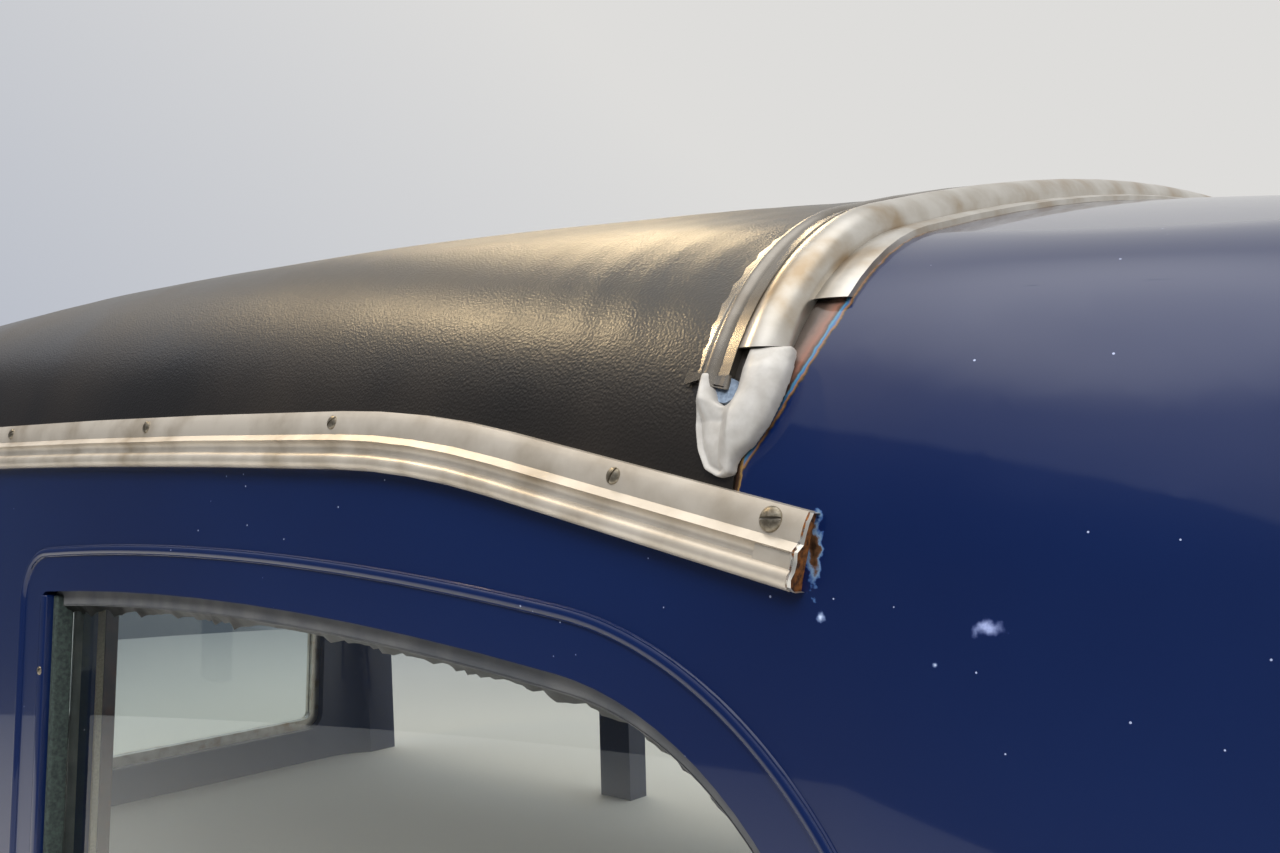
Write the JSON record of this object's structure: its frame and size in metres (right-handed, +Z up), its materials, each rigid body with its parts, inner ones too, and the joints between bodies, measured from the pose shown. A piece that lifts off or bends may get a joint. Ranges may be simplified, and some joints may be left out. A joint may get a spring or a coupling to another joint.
{
  "type": "closed sedan top",
  "caption": "Upper body of a closed car: fabric-covered roof with aluminium mouldings, windowed steel rear quarters and back, door headers, posts and windscreen, cut at the belt line.",
  "frame": {"origin": "middle of the belt line's plane, on which the top stands", "axes": "+X to the rear, +Y to the car's right side, +Z up"},
  "size_m": [2.1, 1.349, 0.7589],
  "materials": {
    "blue_enamel": "gloss coachbuilder's enamel, polished, with chips",
    "leatherette": "black coated cloth with a fine leather grain, sheen",
    "roof_timber": "planed ash, unvarnished",
    "aluminium_moulding": "drawn, dulled by weather and scratched",
    "polished_strip": "rolled, still fairly bright",
    "cast_alloy": "sand cast, matt light grey",
    "lining_cloth": "woven wool headlining, fawn",
    "window_glass": "clear drawn glass",
    "window_seal": "grey-beige setting strip with dark sealing mastic",
    "dark_frame": "stained and varnished hardwood garnish"
  },
  "bodies": {
    "root": {"roof_cover": "leatherette", "roof_deck": "roof_timber", "headlining": "lining_cloth", "windscreen_header": "blue_enamel", "rear_roof_panel": "blue_enamel", "quarter_panel_left": "blue_enamel", "quarter_panel_right": "blue_enamel", "back_panel": "blue_enamel", "quarter_lining_left": "lining_cloth", "quarter_lining_right": "lining_cloth", "back_lining": "lining_cloth", "door_header_left": "blue_enamel", "door_header_right": "blue_enamel", "a_post_left": "blue_enamel", "a_post_right": "blue_enamel", "b_post_left": "blue_enamel", "b_post_right": "blue_enamel", "c_post_left": "blue_enamel", "c_post_right": "blue_enamel", "cowl_rail": "blue_enamel", "side_moulding_left": "aluminium_moulding", "side_moulding_right": "aluminium_moulding", "cover_strip": "polished_strip", "bead_strip": "polished_strip", "rear_flange_strip": "polished_strip", "front_cross_moulding": "polished_strip", "cast_tip_left": "cast_alloy", "cast_tip_right": "cast_alloy", "quarter_glass_left": "window_glass", "quarter_glass_right": "window_glass", "quarter_seal_left": "window_seal", "quarter_seal_right": "window_seal", "quarter_frame_left": "dark_frame", "quarter_frame_right": "dark_frame", "rear_window_glass": "window_glass", "rear_window_seal": "window_seal", "rear_window_frame": "dark_frame", "windscreen_frame": "blue_enamel", "windscreen_glass": "window_glass"}
  },
  "joints": []
}
